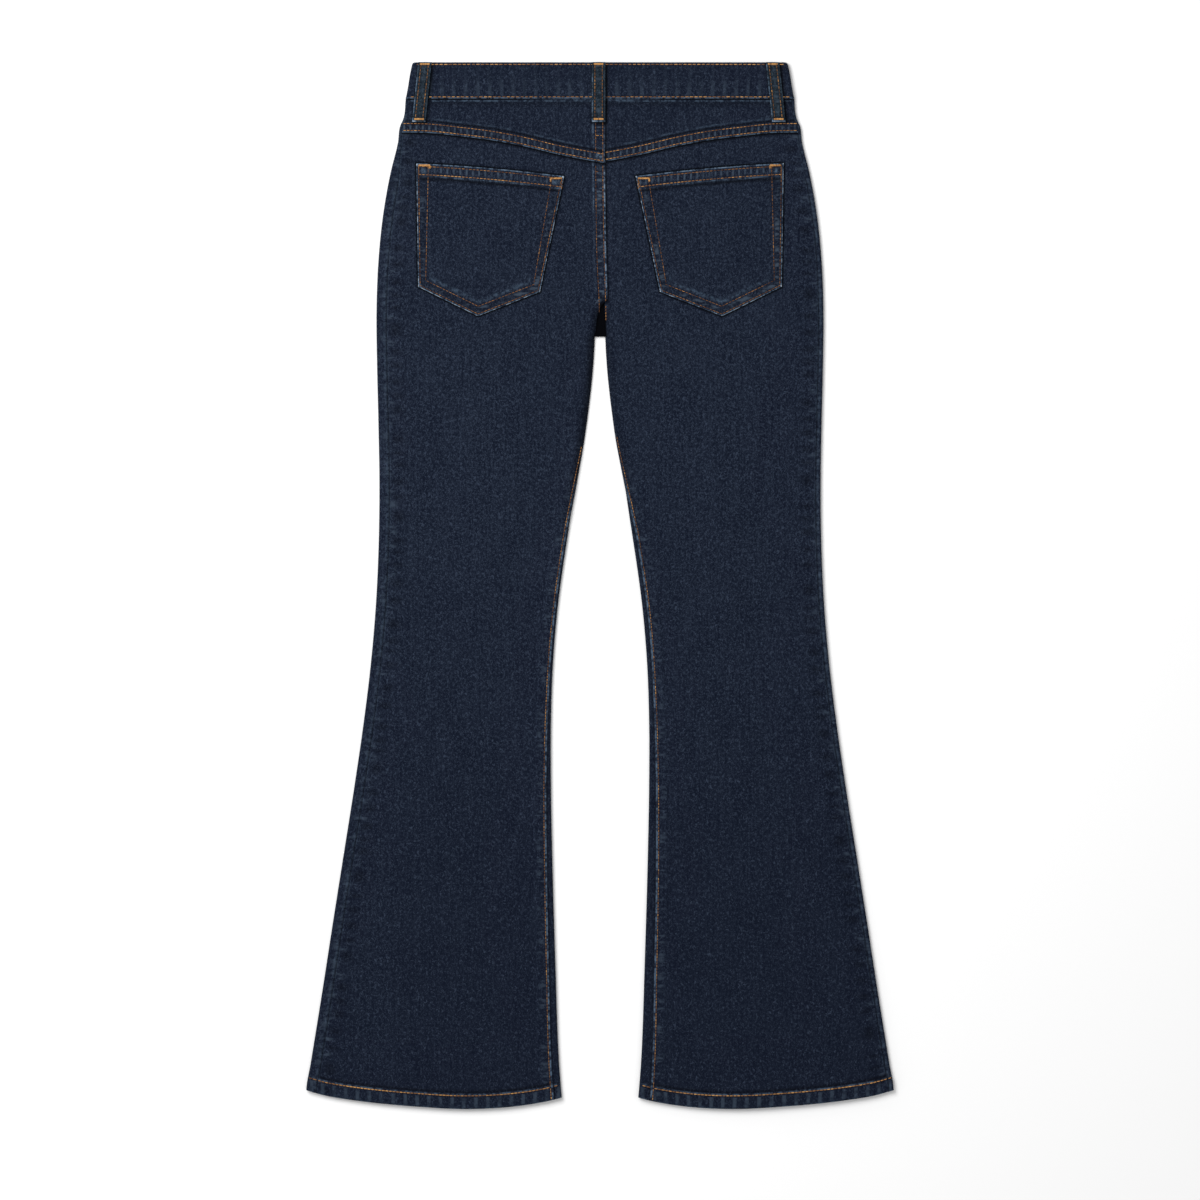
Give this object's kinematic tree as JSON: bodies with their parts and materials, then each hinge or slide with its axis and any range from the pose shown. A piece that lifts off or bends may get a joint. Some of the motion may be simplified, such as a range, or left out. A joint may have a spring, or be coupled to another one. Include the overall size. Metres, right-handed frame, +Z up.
{
  "type": "bootcut jeans",
  "caption": "Dark indigo stretch-denim bootcut jeans laid flat with the back up: yoke, patch pockets, belt loops and flared hems.",
  "frame": {"origin": "centre of the garment's bounding box on the surface that it lies on", "axes": "+X to the right of the back view, +Y along the legs towards the waistband, +Z up from the surface"},
  "size_m": [0.5872, 1.0458, 0.0098],
  "materials": {
    "denim": "dark indigo twill",
    "denim_worn": "dark indigo twill, lighter along its edges",
    "thread": "tobacco topstitching thread",
    "button_metal": "aged brass"
  },
  "bodies": {
    "root": {"leg_back_left": "denim", "leg_back_right": "denim", "leg_front_left": "denim", "leg_front_right": "denim", "front_pocket_facing_left": "denim", "front_pocket_facing_right": "denim", "yoke_left": "denim", "yoke_right": "denim", "waistband": "denim", "back_pocket_left": "denim", "back_pocket_right": "denim", "belt_loop_back_left": "denim_worn", "belt_loop_back_centre": "denim_worn", "belt_loop_back_right": "denim_worn", "belt_loop_front_left": "denim_worn", "belt_loop_front_right": "denim_worn", "waist_button": "button_metal"}
  },
  "joints": []
}
